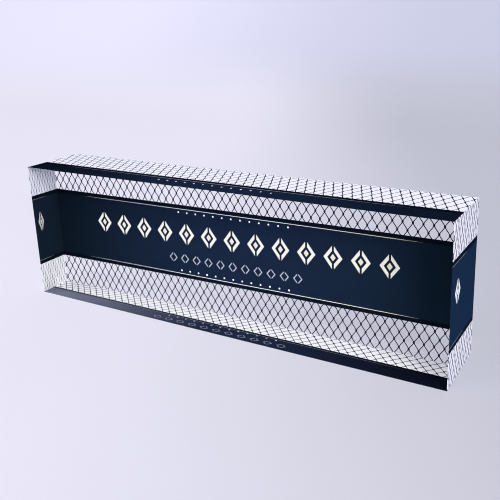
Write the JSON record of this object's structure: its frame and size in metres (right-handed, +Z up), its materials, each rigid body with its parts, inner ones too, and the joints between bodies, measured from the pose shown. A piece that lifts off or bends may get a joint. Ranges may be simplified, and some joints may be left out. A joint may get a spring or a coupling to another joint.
{
  "type": "desk name plate",
  "caption": "Free-standing clear acrylic block with a navy band, gold rules and a knotted-net print on its back, wrapped round its top, underside and ends; holds a name on a desk.",
  "frame": {"origin": "middle of the underside, on the surface that the plate stands on", "axes": "+X along the plate, to the right as it is read; +Y from the clear front face to the printed back; +Z up"},
  "size_m": [0.2034, 0.0318, 0.0637],
  "materials": {
    "clear_acrylic": "diamond-polished clear acrylic",
    "navy_ink": "opaque navy print, satin outside and glossy through the block",
    "gold_ink": "pale gold print with a soft metallic sheen",
    "white_ground": "white printed ground carrying a fine navy net"
  },
  "bodies": {
    "root": {"acrylic_block": "clear_acrylic", "back_band": "navy_ink", "back_upper_net": "navy_ink", "back_lower_net": "navy_ink", "back_upper_rule": "gold_ink", "back_lower_rule": "gold_ink", "back_upper_dots": "gold_ink", "back_lower_dots": "gold_ink", "name_ornament": "gold_ink", "title_ornament": "gold_ink", "top_net_panel": "white_ground", "top_band": "navy_ink", "top_rule": "gold_ink", "top_dots": "gold_ink", "bottom_net_panel": "white_ground", "bottom_band": "navy_ink", "bottom_rule": "gold_ink", "bottom_dots": "gold_ink", "bottom_title_ornament": "gold_ink", "left_band": "navy_ink", "left_rules": "gold_ink", "left_ornament": "gold_ink", "left_upper_net_panel": "white_ground", "left_lower_net_panel": "white_ground", "right_band": "navy_ink", "right_rules": "gold_ink", "right_ornament": "gold_ink", "right_upper_net_panel": "white_ground", "right_lower_net_panel": "white_ground"}
  },
  "joints": []
}
